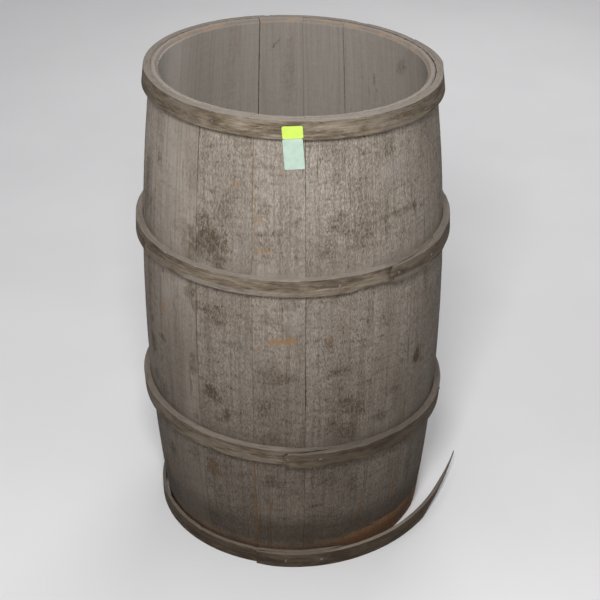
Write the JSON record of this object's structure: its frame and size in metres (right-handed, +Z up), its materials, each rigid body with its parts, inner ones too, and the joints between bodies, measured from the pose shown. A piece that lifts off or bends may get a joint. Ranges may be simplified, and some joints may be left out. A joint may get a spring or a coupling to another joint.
{
  "type": "wooden barrel",
  "caption": "Open-topped wooden slack barrel: bowed staves of uneven width, bent wood hoops, a loose sprung bottom hoop and a boarded head at the foot.",
  "frame": {"origin": "on the barrel's axis, in the plane of its foot", "axes": "+Z up the barrel's axis towards the open end; +X and +Y are 45 degrees either side of the loose hoop's free end"},
  "size_m": [0.4697, 0.4662, 0.731],
  "materials": {
    "stave_wood": "rough sawn, weathered grey",
    "head_wood": "sawn, weathered",
    "hoop_wood": "split and shaved, weathered olive brown",
    "loose_hoop_wood": "split and shaved, dark, with worn pale edges",
    "nail_steel": "dull, lightly rusted",
    "yellow_paper": "matte, blank",
    "green_paper": "matte, blank"
  },
  "bodies": {
    "barrel": {"stave_01": "stave_wood", "stave_02": "stave_wood", "stave_03": "stave_wood", "stave_04": "stave_wood", "stave_05": "stave_wood", "stave_06": "stave_wood", "stave_07": "stave_wood", "stave_08": "stave_wood", "stave_09": "stave_wood", "stave_10": "stave_wood", "stave_11": "stave_wood", "stave_12": "stave_wood", "stave_13": "stave_wood", "stave_14": "stave_wood", "stave_15": "stave_wood", "stave_16": "stave_wood", "stave_17": "stave_wood", "head_board_1": "head_wood", "head_board_2": "head_wood", "head_board_3": "head_wood", "head_board_4": "head_wood", "top_chime_hoop": "hoop_wood", "upper_quarter_hoop": "hoop_wood", "lower_quarter_hoop": "hoop_wood", "top_chime_hoop_nails": "nail_steel", "upper_quarter_hoop_nails": "nail_steel", "lower_quarter_hoop_nails": "nail_steel", "price_sticker": "yellow_paper", "paper_label": "green_paper"},
    "loose_hoop": {"bottom_hoop_long_strip": "loose_hoop_wood", "bottom_hoop_short_strip": "loose_hoop_wood", "bottom_hoop_nails": "nail_steel"}
  },
  "joints": [
    {"name": "loose_hoop_drop", "type": "slide", "parent": "barrel", "child": "loose_hoop", "axis": [0, 0, -1], "range_m": [0, 0.04]}
  ]
}
